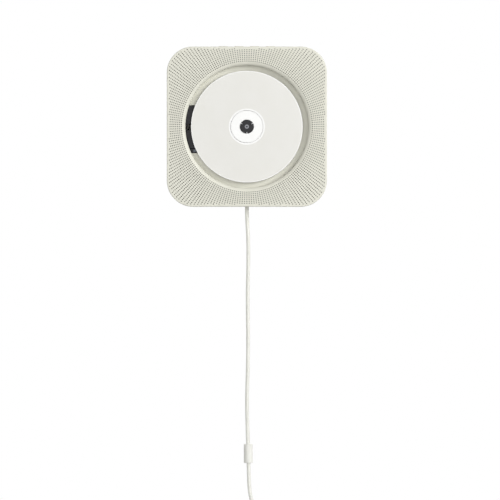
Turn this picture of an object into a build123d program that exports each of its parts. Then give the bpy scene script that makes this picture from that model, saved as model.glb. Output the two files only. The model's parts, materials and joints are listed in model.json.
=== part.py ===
"""A wall-hung disc player with an open disc well, a plain front and a pull-cord switch.

X is to the player's right as seen from the front, Z is up, and the front faces -Y.
The wall is the plane Y = 0, a depth is a distance out from it, and the origin lies on the
spindle axis, which is also the centre of the wall bracket's screw holes. All sizes in mm.
"""
import os
from math import cos, pi, radians, sin, tan

from build123d import *

os.makedirs("parts", exist_ok=True)

# ---------------------------------------------------------------- casing
casing_size = 172.0
casing_corner = 28.0
casing_depth = 41.0
back_gap = 1.0
side_wall = 2.4
front_wall = 2.2
rear_wall = 2.2
edge_round = 2.4
back_round = 1.5
lip_gap = 0.15
lip_wall = 1.4
lip_height = 3.0

# ---------------------------------------------------------------- disc well
well_radius = 65.6
well_depth = 11.0
well_wall = 2.0
floor_thickness = 2.0
rim_round = 4.4

# ---------------------------------------------------------------- mechanism deck, flush with the floor
deck_top = 23.2
deck_bottom = -28.5
deck_right = 24.0
deck_fit = 0.1
deck_flange = 2.0
deck_flange_thickness = 1.5
groove_top = 2.9
groove_bottom = -3.9
pickup_window_half = 9.0
pickup_window_spare = 0.6
indicator_width = 3.0
indicator_height = 2.4
indicator_radius = 61.6
indicator_rise = 1.6

# ---------------------------------------------------------------- disc and spindle
disc_radius = 60.0
disc_thickness = 1.2
disc_bore = 15.0
disc_below_front = 4.5
turntable_seat_radius = 16.4
turntable_radius = 20.5
turntable_thickness = 2.4
turntable_step = 1.2
turntable_edge = 0.3
turntable_boss_radius = 5.0
turntable_boss_length = 8.8
turntable_clearance = 1.0
hub_gap = 0.1
hub_height = 2.9
hub_round = 0.9
shaft_diameter = 2.0
shaft_bush_diameter = 4.4
motor_end_wall = 2.2
ball_diameter = 2.4
ball_play = 0.05
ball_count = 3
ball_first_angle = 30.0
ball_lift = 0.2
ball_clearance = 0.05
ball_slot_width = 1.0
ball_slot_length = 2.7
ball_bore_wall = 1.0
motor_radius = 12.0
motor_to_pocket = 2.4
motor_round = 1.0

# ---------------------------------------------------------------- pickup mechanism
chassis_to_floor = 8.0
chassis_thickness = 1.5
chassis_left = -71.0
chassis_right = 22.0
chassis_top = 34.0
chassis_step = -22.0
chassis_lower_left = -54.0
chassis_bottom = -47.0
rod_lift = 2.1
main_rod_diameter = 3.0
main_rod_z = 12.0
guide_rod_diameter = 2.0
guide_rod_z = -14.0
rod_fit = 0.1
lug_thickness = 3.0
lug_half_height = 2.6
lug_cover = 1.0
lens_rest_x = -24.0
sled_travel = 32.0
sled_half_length = 10.0
sled_end_gap = 0.5
sled_side_gap = 0.5
sled_side_wall = 1.8
sled_behind_chassis = 3.0
sled_before_rods = 2.4
sled_chamfer = 1.5
lens_seat_size = 6.8
lens_seat_thickness = 1.0
lens_seat_corner = 1.0
lens_travel = 0.4
lens_barrel_radius = 3.1
lens_to_disc = 3.3
lens_radius = 2.2
lens_crown = 0.6

# ---------------------------------------------------------------- sled drive
gear_module = 0.6
idler_teeth = 26
pinion_teeth = 9
gear_thickness = 2.0
gear_lift = 0.5
gear_slack = 0.15
tooth_tip = 0.85
tooth_root = 1.25
tooth_slope = 20.0
idler_x = -36.0
rack_bar = 1.3
idler_axle_diameter = 1.6
idler_axle_head = 3.2
sled_motor_radius = 10.0
sled_shaft_diameter = 1.5

# ---------------------------------------------------------------- mechanism suspension
damper_points = [(16.0, 29.2), (-52.0, 29.2), (-50.0, -38.0), (16.0, -38.0)]
damper_radius = 4.4
damper_neck = 3.0
damper_flange = 1.7
damper_post_radius = 3.3
damper_screw_radius = 1.2
damper_screw_head = 3.0
damper_screw_head_height = 1.6
damper_screw_share = 0.6

# ---------------------------------------------------------------- loudspeakers
speaker_inset = 24.3
speaker_radius = 19.0
speaker_flange = 2.0
speaker_rim = 1.6
speaker_basket_depth = 10.6
speaker_wall = 0.9
speaker_throat = 9.5
speaker_magnet_radius = 10.5
speaker_magnet_length = 7.0
cone_clearance = 0.8
cone_thickness = 0.6
cone_surround = 1.6
cone_throat = 5.0
cone_depth = 6.5
cone_cap_height = 1.6
magnet_round = 0.8

# ---------------------------------------------------------------- wall bracket and its pocket
bracket_width = 84.0
bracket_height = 44.0
bracket_corner = 5.0
bracket_thickness = 1.2
wall_screw_spacing_x = 68.0
wall_screw_spacing_z = 28.0
wall_screw_hole = 4.4
hook_spacing = 48.0
hook_width = 10.0
hook_crotch_z = 5.0
hook_tongue = 6.0
hook_gap = 0.2
lift_travel = 8.0
lift_spare = 0.6
hook_window_spare = 1.0
pocket_clearance = 2.0
pocket_depth = 4.4
pocket_wall = 2.0

# ---------------------------------------------------------------- casing screws and pads
cover_screw_x = 38.0
cover_screw_inset = 11.0
boss_radius = 4.0
boss_foot_radius = 5.2
boss_foot_height = 2.0
screw_radius = 1.5
screw_head_radius = 2.9
screw_head_height = 1.6
screw_length = 14.0
screw_clearance = 0.3
pad_radius = 5.0
pad_inset = 16.0
pad_recess = 0.8

# ---------------------------------------------------------------- circuit board
board_side_inset = 26.0
board_top_inset = 18.0
board_height = 38.0
board_thickness = 1.6
board_depth = 8.0
board_post_radius = 3.0
board_post_inset = 6.0
board_screw_radius = 1.1
board_screw_head = 2.3
board_screw_head_height = 1.4
board_screw_grip = 3.6
main_chip_size = 14.0
main_chip_x = -16.0
small_chip_width = 10.0
small_chip_height = 6.0
small_chip_x = 14.0
small_chip_rises = (4.0, -7.0)
chip_thickness = 1.6
capacitor_radius = 4.0
capacitor_height = 8.5
capacitor_places = [(36.0, 7.0), (36.0, -6.0), (-38.0, 6.0)]
connector_width = 12.0
connector_breadth = 4.5
connector_height = 5.0
connector_pitch = 30.0
connector_rise = 3.4

# ---------------------------------------------------------------- keys in the top edge
key_pitch = 17.0
key_depth = 24.0
key_length = 10.0
key_width = 4.6
key_gap = 0.2
key_proud = 0.8
key_travel = 0.5
key_flange = 1.2
key_flange_thickness = 1.0
key_top_gap = 0.05
key_free_play = 0.4
key_chamfer = 0.3
key_stem_radius = 1.2
key_board_drop = 8.4
key_board_thickness = 1.6
key_board_width = 14.0
key_board_margin = 1.3
key_rib_thickness = 2.0
switch_size = 6.0
switch_height = 3.2
switch_well_radius = 1.5
switch_well_depth = 2.2

# ---------------------------------------------------------------- pull switch in the bottom edge
pull_guide_gap = 0.8
pull_travel = 4.0
pull_stem_radius = 2.8
pull_hole_radius = 3.3
pull_collar_radius = 5.5
pull_collar_height = 3.0
pull_collar_fit = 0.2
pull_upper_stem = 11.0
pull_stem_above_mouth = 4.0
pull_spring_radius = 4.3
pull_spring_wire = 0.8
pull_spring_turns = 4
pull_spring_end_turns = 1.5
pull_spring_bar_share = 0.9
guide_wall = 1.5
guide_to_lip = 0.8
guide_roof = 6.0
guide_half_width = 8.0
micro_switch_width = 12.0
micro_switch_breadth = 9.0
micro_switch_height = 8.0
micro_switch_gap = 0.4

# ---------------------------------------------------------------- cord, pull grip, coil and adapter
cord_diameter = 4.1
grip_radius = 4.8
grip_top_z = -341.5
grip_bottom_z = -361.9
grip_round = 0.6
grip_x = 1.5
cord_route = [
    (0.0, -97.0), (1.5, -118.0), (1.7, -147.0), (0.7, -183.0), (1.4, -222.0), (1.2, -258.0),
    (0.0, -292.0), (0.6, -322.0), (1.5, -349.0), (2.0, -374.0), (3.0, -395.0), (7.6, -410.0),
    (15.6, -421.0),
]
coil_centre = (2.5, -447.0)
coil_mean_radius = 23.0
coil_half_width = 6.4
coil_half_depth = 6.4
coil_corner_share = 0.6
tail_route = [(14.0, -474.0), (7.0, -481.5), (2.5, -491.0), (2.5, -500.0)]
tie_width = 5.0
tie_thickness = 1.0
relief_length = 20.0
relief_end_radius = 2.9
relief_base_radius = 4.2
adapter_width = 36.0
adapter_breadth = 26.0
adapter_height = 42.0
adapter_round = 4.0
adapter_top_round = 2.0
prong_spacing = 12.7
prong_width = 6.3
prong_thickness = 1.5
prong_length = 17.0
prong_hole = 3.2
prong_hole_from_tip = 3.6
prong_chamfer = 0.4
arc_share = 0.45

# ---------------------------------------------------------------- places worked out from the sizes
half_size = casing_size / 2
inner_half = half_size - side_wall
front_inner = casing_depth - front_wall
rear_inner = back_gap + rear_wall
floor_depth = casing_depth - well_depth
floor_back = floor_depth - floor_thickness
deck_flange_back = floor_back - deck_flange_thickness
chassis_depth = floor_back - chassis_to_floor
disc_face = casing_depth - disc_below_front
disc_back = disc_face - disc_thickness
turntable_back = disc_back - turntable_thickness
hub_face = disc_back + hub_height
hub_radius = disc_bore / 2 - hub_gap
ball_radius = ball_diameter / 2
ball_place = disc_bore / 2 - ball_play - ball_radius
ball_depth = disc_back + ball_radius + ball_lift
chassis_front = chassis_depth + chassis_thickness
damper_post_length = floor_back - chassis_front - damper_flange
pocket_floor = back_gap + pocket_depth
pocket_front = pocket_floor + pocket_wall
motor_back = pocket_front + motor_to_pocket
motor_length = chassis_depth - motor_back
shaft_inside_motor = motor_length - motor_end_wall
guide_half_depth = pull_collar_radius + pull_collar_fit + guide_wall
pull_depth = floor_back - pull_guide_gap - guide_half_depth
seam_depth = pull_depth - guide_half_depth - guide_to_lip - lip_height
rod_depth = chassis_front + rod_lift
sled_back_depth = chassis_depth - sled_behind_chassis
sled_front_depth = rod_depth + sled_before_rods
lens_barrel_front = disc_back - lens_to_disc
pickup_window_end = lens_rest_x - sled_travel - lens_barrel_radius - pickup_window_spare
rod_left = chassis_left + lug_thickness / 2
rod_right = lens_rest_x + sled_half_length + sled_end_gap + lug_thickness / 2
speaker_offset = half_size - speaker_inset
cover_screw_z = half_size - cover_screw_inset
pad_place = half_size - pad_inset
board_right = half_size - board_side_inset
board_left = -board_right
board_top = half_size - board_top_inset
board_bottom = board_top - board_height
speaker_places = {"left": (-speaker_offset, -speaker_offset), "right": (speaker_offset, -speaker_offset)}
cover_screw_places = [
    (x, z) for x in (-cover_screw_x, cover_screw_x) for z in (-cover_screw_z, cover_screw_z)
]
pad_places = [(x, z) for x in (-pad_place, pad_place) for z in (-pad_place, pad_place)]
board_post_places = [
    (x, z)
    for x in (board_left + board_post_inset, board_right - board_post_inset)
    for z in (board_bottom + board_post_inset, board_top - board_post_inset)
]
key_names = ["track_back_key", "track_forward_key", "volume_down_key", "volume_up_key"]
key_places = [(index - (len(key_names) - 1) / 2) * key_pitch for index in range(len(key_names))]
key_board_end = key_places[-1] + key_length / 2 + key_flange + key_board_margin
key_board_top = half_size - key_board_drop
key_board_bottom = key_board_top - key_board_thickness


def at_depth(depth):
    """The plane parallel to the wall at a depth: X to the right, Z up, out of the wall."""
    return Plane.XZ.offset(depth)


def at_point(x, depth, z):
    """The plane parallel to the wall whose own origin is a point on it."""
    return Plane(origin=(x, -depth, z), x_dir=(1, 0, 0), z_dir=(0, -1, 0))


def at_height(height):
    """A level plane at a height, for what is built upwards; its second axis is +Y."""
    return Plane.XY.offset(height)


def write_piece(piece, label):
    piece.part.label = label
    export_step(piece.part, f"parts/{label}.step")


# ================================================================ wall bracket
# Pressed steel: two hooks are cut from the plate and folded forward, then up.
hook_reach = pocket_front + hook_gap
with BuildPart() as wall_bracket:
    with BuildSketch(at_depth(0)):
        RectangleRounded(bracket_width, bracket_height, bracket_corner)
        with GridLocations(wall_screw_spacing_x, wall_screw_spacing_z, 2, 2):
            Circle(wall_screw_hole / 2, mode=Mode.SUBTRACT)
        with Locations((-hook_spacing / 2, hook_crotch_z), (hook_spacing / 2, hook_crotch_z)):
            Rectangle(hook_width, hook_reach + hook_tongue - bracket_thickness,
                      align=(Align.CENTER, Align.MIN), mode=Mode.SUBTRACT)
    extrude(amount=bracket_thickness)
    for side in (-1, 1):
        with BuildSketch(Plane.YZ.offset(side * hook_spacing / 2)):
            with BuildLine():
                Polyline(
                    (0, hook_crotch_z),
                    (0, hook_crotch_z - bracket_thickness),
                    (-hook_reach - bracket_thickness, hook_crotch_z - bracket_thickness),
                    (-hook_reach - bracket_thickness, hook_crotch_z + hook_tongue),
                    (-hook_reach, hook_crotch_z + hook_tongue),
                    (-hook_reach, hook_crotch_z),
                    close=True,
                )
            make_face()
        extrude(amount=hook_width / 2, both=True)
write_piece(wall_bracket, "wall_bracket")

# ================================================================ front cover
# One moulding: the square shell, the round well with its rolled rim, and the screw bosses.
with BuildPart() as front_cover:
    with BuildSketch(at_depth(seam_depth)):
        RectangleRounded(casing_size, casing_size, casing_corner)
    extrude(amount=casing_depth - seam_depth)
    fillet(front_cover.faces().sort_by(Axis.Y)[0].edges(), edge_round)
    with BuildSketch(at_depth(seam_depth)):
        RectangleRounded(2 * inner_half, 2 * inner_half, casing_corner - side_wall)
    extrude(amount=front_inner - seam_depth, mode=Mode.SUBTRACT)
    with BuildSketch(at_depth(floor_back)):
        Circle(well_radius + well_wall)
    extrude(amount=front_inner - floor_back)
    with BuildSketch(at_depth(floor_depth)):
        Circle(well_radius)
    extrude(amount=well_depth, mode=Mode.SUBTRACT)
    mouth = front_cover.edges().filter_by(GeomType.CIRCLE).filter_by(lambda edge: edge.radius == well_radius)
    fillet(mouth.sort_by(Axis.Y)[0], rim_round)
    with BuildSketch(at_depth(floor_back)):
        with Locations((-well_radius, deck_bottom)):
            Rectangle(deck_right + well_radius, deck_top - deck_bottom, align=(Align.MIN, Align.MIN))
        Circle(well_radius, mode=Mode.INTERSECT)
    extrude(amount=floor_thickness, mode=Mode.SUBTRACT)
    with BuildSketch(at_depth(rear_inner + boss_foot_height)):
        with Locations(*cover_screw_places):
            Circle(boss_radius)
    extrude(amount=front_inner - rear_inner - boss_foot_height)
    with BuildSketch(at_depth(rear_inner + boss_foot_height)):
        with Locations(*cover_screw_places):
            Circle(screw_radius)
    extrude(amount=screw_length, mode=Mode.SUBTRACT)
    with BuildSketch(at_depth(chassis_front + damper_flange)):
        with Locations(*damper_points):
            Circle(damper_post_radius)
            Circle(damper_screw_radius, mode=Mode.SUBTRACT)
    extrude(amount=damper_post_length)
    with BuildSketch(at_depth(key_depth - key_board_width / 2)):
        for side in (-1, 1):
            with Locations((side * (key_board_end + key_rib_thickness / 2), key_board_bottom)):
                Rectangle(key_rib_thickness, inner_half - key_board_bottom, align=(Align.CENTER, Align.MIN))
    extrude(amount=key_board_width)
    with BuildSketch(at_height(inner_half)):
        with Locations(*[(x, -key_depth) for x in key_places]):
            SlotOverall(key_length + 2 * key_gap, key_width + 2 * key_gap)
    extrude(amount=side_wall, mode=Mode.SUBTRACT)
    with BuildSketch(at_height(-half_size)):
        with Locations((0, -pull_depth)):
            Circle(pull_hole_radius)
    extrude(amount=side_wall, mode=Mode.SUBTRACT)
write_piece(front_cover, "front_cover")

# ================================================================ rear cover
# Its lip plugs into the front cover, and its pocket hangs on the bracket's hooks.
lip_inset = side_wall + lip_gap
skirt_inset = lip_inset + lip_wall
pocket_bottom = -bracket_height / 2 - lift_travel - pocket_clearance
pocket_top = bracket_height / 2 + pocket_clearance
pocket_half = bracket_width / 2 + pocket_clearance
window_height = bracket_thickness + lift_travel + lift_spare
with BuildPart() as rear_cover:
    with BuildSketch(at_depth(back_gap)):
        RectangleRounded(casing_size, casing_size, casing_corner)
    extrude(amount=seam_depth - back_gap)
    fillet(rear_cover.faces().sort_by(Axis.Y)[-1].edges(), back_round)
    with BuildSketch(at_depth(seam_depth)):
        RectangleRounded(casing_size - 2 * lip_inset, casing_size - 2 * lip_inset, casing_corner - lip_inset)
    extrude(amount=lip_height)
    with BuildSketch(at_depth(rear_inner)):
        RectangleRounded(casing_size - 2 * skirt_inset, casing_size - 2 * skirt_inset,
                         casing_corner - skirt_inset)
    extrude(amount=seam_depth + lip_height - rear_inner, mode=Mode.SUBTRACT)
    with BuildSketch(at_depth(back_gap)):
        with Locations((0, pocket_bottom - pocket_wall)):
            Rectangle(2 * (pocket_half + pocket_wall), pocket_top - pocket_bottom + 2 * pocket_wall,
                      align=(Align.CENTER, Align.MIN))
    extrude(amount=pocket_front - back_gap)
    with BuildSketch(at_depth(back_gap)):
        with Locations((0, pocket_bottom)):
            Rectangle(2 * pocket_half, pocket_top - pocket_bottom, align=(Align.CENTER, Align.MIN))
    extrude(amount=pocket_depth, mode=Mode.SUBTRACT)
    with BuildSketch(at_depth(pocket_floor)):
        with Locations((-hook_spacing / 2, hook_crotch_z), (hook_spacing / 2, hook_crotch_z)):
            Rectangle(hook_width + 2 * hook_window_spare, window_height, align=(Align.CENTER, Align.MAX))
    extrude(amount=pocket_wall, mode=Mode.SUBTRACT)
    with BuildSketch(at_depth(rear_inner)):
        with Locations(*cover_screw_places):
            Circle(boss_foot_radius)
    extrude(amount=boss_foot_height)
    with BuildSketch(at_depth(rear_inner)):
        with Locations(*board_post_places):
            Circle(board_post_radius)
    extrude(amount=board_depth - rear_inner)
    with BuildSketch(at_depth(board_depth + board_thickness - board_screw_grip)):
        with Locations(*board_post_places):
            Circle(board_screw_radius)
    extrude(amount=board_screw_grip, mode=Mode.SUBTRACT)
    with BuildSketch(at_depth(back_gap)):
        with Locations(*cover_screw_places):
            Circle(screw_radius + screw_clearance)
    extrude(amount=rear_wall + boss_foot_height, mode=Mode.SUBTRACT)
    with BuildSketch(at_depth(back_gap)):
        with Locations(*cover_screw_places):
            Circle(screw_head_radius + screw_clearance)
    extrude(amount=boss_foot_height, mode=Mode.SUBTRACT)
    with BuildSketch(at_depth(back_gap)):
        with Locations(*pad_places):
            Circle(pad_radius)
    extrude(amount=pad_recess, mode=Mode.SUBTRACT)
write_piece(rear_cover, "rear_cover")

with BuildPart() as cover_screws:
    with BuildSketch(at_depth(back_gap + boss_foot_height - screw_head_height)):
        with Locations(*cover_screw_places):
            Circle(screw_head_radius)
    extrude(amount=screw_head_height)
    with BuildSketch(at_depth(back_gap + boss_foot_height)):
        with Locations(*cover_screw_places):
            Circle(screw_radius)
    extrude(amount=screw_length)
write_piece(cover_screws, "cover_screws")

with BuildPart() as rear_pads:
    with BuildSketch(at_depth(0)):
        with Locations(*pad_places):
            Circle(pad_radius)
    extrude(amount=back_gap + pad_recess)
write_piece(rear_pads, "rear_pads")

# ================================================================ mechanism deck
# Black moulding that fills the cut-out in the well floor; its flange lies behind the floor.
with BuildPart() as mechanism_deck:
    with BuildSketch(at_depth(deck_flange_back)):
        with Locations((-well_radius, deck_bottom - deck_flange)):
            Rectangle(deck_right + deck_flange + well_radius, deck_top - deck_bottom + 2 * deck_flange,
                      align=(Align.MIN, Align.MIN))
        Circle(well_radius + well_wall, mode=Mode.INTERSECT)
    extrude(amount=deck_flange_thickness)
    with BuildSketch(at_depth(floor_back)):
        with Locations((-well_radius, deck_bottom + deck_fit)):
            Rectangle(deck_right + well_radius - deck_fit, deck_top - deck_bottom - 2 * deck_fit,
                      align=(Align.MIN, Align.MIN))
        Circle(well_radius - deck_fit, mode=Mode.INTERSECT)
    extrude(amount=floor_thickness)
    with BuildSketch(at_depth(deck_flange_back)):
        Circle(turntable_radius + turntable_clearance)
        with Locations((pickup_window_end, 0)):
            Rectangle(-pickup_window_end, 2 * pickup_window_half, align=(Align.MIN, Align.CENTER))
        with Locations((-well_radius + deck_fit, groove_bottom)):
            Rectangle(well_radius - deck_fit, groove_top - groove_bottom, align=(Align.MIN, Align.MIN))
        Circle(well_radius - 0.5, mode=Mode.INTERSECT)
    extrude(amount=floor_depth - deck_flange_back, mode=Mode.SUBTRACT)
    indicator_z = deck_bottom + indicator_rise + indicator_height / 2
    indicator_x = -(indicator_radius**2 - indicator_z**2) ** 0.5
    with BuildSketch(at_depth(deck_flange_back)):
        with Locations((indicator_x, indicator_z)):
            Rectangle(indicator_width, indicator_height)
    extrude(amount=floor_depth - deck_flange_back, mode=Mode.SUBTRACT)
write_piece(mechanism_deck, "mechanism_deck")

with BuildPart() as indicator_lens:
    with BuildSketch(at_depth(deck_flange_back)):
        with Locations((indicator_x, indicator_z)):
            Rectangle(indicator_width, indicator_height)
    extrude(amount=floor_depth - deck_flange_back)
write_piece(indicator_lens, "indicator_lens")

# ================================================================ mechanism chassis
window_right = rod_right - lug_thickness / 2
window_left = chassis_left + lug_thickness
window_top = main_rod_z + main_rod_diameter / 2 + rod_fit + sled_side_wall + sled_side_gap
window_bottom = guide_rod_z - guide_rod_diameter / 2 - rod_fit - sled_side_wall - sled_side_gap
rack_pitch_z = window_bottom + sled_side_gap - rack_bar - gear_module * tooth_root
idler_radius = gear_module * idler_teeth / 2
pinion_radius = gear_module * pinion_teeth / 2
idler_z = rack_pitch_z - idler_radius
idler_step = 360.0 / idler_teeth
idler_phase = 90.0 + idler_step / 2
mesh_angle = idler_phase + idler_step * round((305.0 - idler_phase) / idler_step)
pinion_x = idler_x + (idler_radius + pinion_radius) * cos(radians(mesh_angle))
pinion_z = idler_z + (idler_radius + pinion_radius) * sin(radians(mesh_angle))
gear_back = chassis_front + gear_lift
with BuildPart() as mech_chassis:
    with BuildSketch(at_depth(chassis_depth)):
        with BuildLine():
            Polyline(
                (chassis_left, chassis_top),
                (chassis_right, chassis_top),
                (chassis_right, chassis_bottom),
                (chassis_lower_left, chassis_bottom),
                (chassis_lower_left, chassis_step),
                (chassis_left, chassis_step),
                close=True,
            )
        make_face()
        with Locations((window_left, window_bottom)):
            Rectangle(window_right - window_left, window_top - window_bottom,
                      align=(Align.MIN, Align.MIN), mode=Mode.SUBTRACT)
        Circle(turntable_boss_radius, mode=Mode.SUBTRACT)
        with Locations((pinion_x, pinion_z)):
            Circle(sled_shaft_diameter, mode=Mode.SUBTRACT)
        with Locations((idler_x, idler_z)):
            Circle(idler_axle_diameter / 2, mode=Mode.SUBTRACT)
        with Locations(*damper_points):
            Circle(damper_neck, mode=Mode.SUBTRACT)
    extrude(amount=chassis_thickness)
    with BuildSketch(at_depth(chassis_front)):
        with Locations(*[(x, z) for x in (rod_left, rod_right) for z in (main_rod_z, guide_rod_z)]):
            Rectangle(lug_thickness, 2 * lug_half_height)
    extrude(amount=rod_lift + main_rod_diameter / 2 + lug_cover)
    with BuildSketch(Plane.YZ.offset(chassis_left)):
        with Locations((-rod_depth, main_rod_z)):
            Circle(main_rod_diameter / 2)
        with Locations((-rod_depth, guide_rod_z)):
            Circle(guide_rod_diameter / 2)
    extrude(amount=rod_right + lug_thickness - chassis_left, mode=Mode.SUBTRACT)
write_piece(mech_chassis, "mech_chassis")

for rod_name, rod_diameter, rod_z in (
    ("main_guide_rod", main_rod_diameter, main_rod_z),
    ("second_guide_rod", guide_rod_diameter, guide_rod_z),
):
    with BuildPart() as guide_rod:
        with BuildSketch(Plane.YZ.offset(chassis_left)):
            with Locations((-rod_depth, rod_z)):
                Circle(rod_diameter / 2)
        extrude(amount=rod_right + lug_thickness / 2 - chassis_left)
    write_piece(guide_rod, rod_name)

with BuildPart() as damper_bushes:
    with BuildSketch(at_depth(chassis_depth - damper_flange)):
        with Locations(*damper_points):
            Circle(damper_radius)
    extrude(amount=damper_flange)
    with BuildSketch(at_depth(chassis_depth)):
        with Locations(*damper_points):
            Circle(damper_neck)
    extrude(amount=chassis_thickness)
    with BuildSketch(at_depth(chassis_front)):
        with Locations(*damper_points):
            Circle(damper_radius)
    extrude(amount=damper_flange)
    with BuildSketch(at_depth(chassis_depth - damper_flange)):
        with Locations(*damper_points):
            Circle(damper_screw_radius)
    extrude(amount=chassis_thickness + 2 * damper_flange, mode=Mode.SUBTRACT)
write_piece(damper_bushes, "damper_bushes")

with BuildPart() as damper_screws:
    with BuildSketch(at_depth(chassis_depth - damper_flange - damper_screw_head_height)):
        with Locations(*damper_points):
            Circle(damper_screw_head)
    extrude(amount=damper_screw_head_height)
    with BuildSketch(at_depth(chassis_depth - damper_flange)):
        with Locations(*damper_points):
            Circle(damper_screw_radius)
    extrude(amount=chassis_thickness + 2 * damper_flange + damper_screw_share * damper_post_length)
write_piece(damper_screws, "damper_screws")

# ================================================================ spindle
with BuildPart() as spindle_motor:
    with BuildSketch(at_depth(motor_back)):
        Circle(motor_radius)
    extrude(amount=motor_length)
    fillet(spindle_motor.faces().sort_by(Axis.Y)[-1].edges(), motor_round)
    with BuildSketch(at_depth(motor_back + motor_length - shaft_inside_motor)):
        Circle(shaft_diameter / 2)
    extrude(amount=shaft_inside_motor, mode=Mode.SUBTRACT)
write_piece(spindle_motor, "spindle_motor")

with BuildPart() as spindle_shaft:
    with BuildSketch(at_depth(chassis_depth - shaft_inside_motor)):
        Circle(shaft_diameter / 2)
    extrude(amount=hub_face - chassis_depth + shaft_inside_motor)
write_piece(spindle_shaft, "spindle_shaft")

with BuildPart() as turntable:
    with BuildSketch(at_depth(turntable_back)):
        Circle(turntable_radius)
    extrude(amount=turntable_thickness - turntable_step)
    with BuildSketch(at_depth(disc_back - turntable_step)):
        Circle(turntable_seat_radius)
    extrude(amount=turntable_step)
    outer_edges = turntable.edges().filter_by(GeomType.CIRCLE)
    fillet(outer_edges.filter_by(lambda edge: edge.center().Y < -turntable_back - turntable_edge),
           turntable_edge)
    with BuildSketch(at_depth(turntable_back)):
        Circle(turntable_boss_radius)
    extrude(amount=-turntable_boss_length)
    with BuildSketch(at_depth(disc_back)):
        Circle(shaft_diameter / 2)
    extrude(amount=-turntable_thickness - turntable_boss_length, mode=Mode.SUBTRACT)
write_piece(turntable, "turntable")

with BuildPart() as chuck_hub:
    with BuildSketch(at_depth(disc_back)):
        Circle(hub_radius)
    extrude(amount=hub_height)
    fillet(chuck_hub.faces().sort_by(Axis.Y)[0].edges(), hub_round)
    with BuildSketch(at_depth(disc_back)):
        Circle(shaft_bush_diameter / 2)
    extrude(amount=hub_height, mode=Mode.SUBTRACT)
    with BuildSketch(at_depth(ball_depth)):
        with PolarLocations(0, ball_count, ball_first_angle):
            with Locations((hub_radius, 0)):
                Rectangle(2 * ball_slot_length, ball_slot_width)
    extrude(amount=hub_height, mode=Mode.SUBTRACT)
    for index in range(ball_count):
        angle = ball_first_angle + index * 360.0 / ball_count
        radial = Plane(origin=(0, -ball_depth, 0), z_dir=(cos(radians(angle)), 0, sin(radians(angle))))
        with BuildSketch(radial.offset(shaft_bush_diameter / 2 + ball_bore_wall)):
            Circle(ball_radius + ball_clearance)
        extrude(amount=hub_radius, mode=Mode.SUBTRACT)
write_piece(chuck_hub, "chuck_hub")

with BuildPart() as hub_bush:
    with BuildSketch(at_depth(disc_back)):
        Circle(shaft_bush_diameter / 2)
        Circle(shaft_diameter / 2, mode=Mode.SUBTRACT)
    extrude(amount=hub_height)
write_piece(hub_bush, "hub_bush")

for index in range(ball_count):
    angle = radians(ball_first_angle + index * 360.0 / ball_count)
    with BuildPart() as chuck_ball:
        with Locations((ball_place * cos(angle), -ball_depth, ball_place * sin(angle))):
            Sphere(ball_radius)
    write_piece(chuck_ball, f"chuck_ball_{index + 1}")

with BuildPart() as disc:
    with BuildSketch(at_depth(disc_back)):
        Circle(disc_radius)
        Circle(disc_bore / 2, mode=Mode.SUBTRACT)
    extrude(amount=disc_thickness)
write_piece(disc, "disc")

# ================================================================ pickup sled
sled_right = lens_rest_x + sled_half_length
sled_left = lens_rest_x - sled_half_length
sled_top = window_top - sled_side_gap
sled_bottom = window_bottom + sled_side_gap
with BuildPart() as pickup_sled:
    with BuildSketch(at_depth(sled_back_depth)):
        with Locations((sled_left, sled_bottom)):
            Rectangle(sled_right - sled_left, sled_top - sled_bottom, align=(Align.MIN, Align.MIN))
    extrude(amount=sled_front_depth - sled_back_depth)
    chamfer(pickup_sled.faces().sort_by(Axis.Y)[-1].edges(), sled_chamfer)
    with BuildSketch(Plane.YZ.offset(sled_left)):
        with Locations((-rod_depth, main_rod_z)):
            Circle(main_rod_diameter / 2 + rod_fit)
        with Locations((-rod_depth, guide_rod_z)):
            Circle(guide_rod_diameter / 2 + rod_fit)
    extrude(amount=sled_right - sled_left, mode=Mode.SUBTRACT)
write_piece(pickup_sled, "pickup_sled")

lens_seat_back = sled_front_depth + lens_travel
with BuildPart() as lens_holder:
    with BuildSketch(at_depth(lens_seat_back)):
        with Locations((lens_rest_x, 0)):
            RectangleRounded(lens_seat_size, lens_seat_size, lens_seat_corner)
    extrude(amount=lens_seat_thickness)
    with BuildSketch(at_depth(lens_seat_back + lens_seat_thickness)):
        with Locations((lens_rest_x, 0)):
            Circle(lens_barrel_radius)
    extrude(amount=lens_barrel_front - lens_seat_back - lens_seat_thickness)
    with BuildSketch(at_depth(lens_barrel_front - lens_crown)):
        with Locations((lens_rest_x, 0)):
            Circle(lens_radius)
    extrude(amount=lens_crown, mode=Mode.SUBTRACT)
write_piece(lens_holder, "lens_holder")

with BuildPart() as objective_lens:
    with BuildSketch(at_depth(lens_barrel_front - lens_crown)):
        with Locations((lens_rest_x, 0)):
            Circle(lens_radius)
    extrude(amount=lens_crown)
    fillet(objective_lens.faces().sort_by(Axis.Y)[0].edges(), lens_crown * 0.8)
write_piece(objective_lens, "objective_lens")


def tooth_profile(pitch_half_width, side):
    """Half widths and heights of one straight-sided tooth, from its root to its tip."""
    lean = tan(radians(tooth_slope))
    root = pitch_half_width + gear_module * tooth_root * lean
    tip = pitch_half_width - gear_module * tooth_tip * lean
    return (side * root, -gear_module * tooth_root), (side * tip, gear_module * tooth_tip)


def gear_points(teeth, first_angle):
    """The corners of a spur gear, its first tooth centred on an angle in degrees."""
    pitch_radius = gear_module * teeth / 2
    half_width = gear_module * pi / 4 - gear_slack / 2
    points = []
    for tooth in range(teeth):
        middle = radians(first_angle + tooth * 360.0 / teeth)
        rising = tooth_profile(half_width, -1)
        falling = tooth_profile(half_width, 1)[::-1]
        for across, height in rising + falling:
            radius = pitch_radius + height
            turn = middle + across / radius
            points.append((radius * cos(turn), radius * sin(turn)))
    return points


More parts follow.
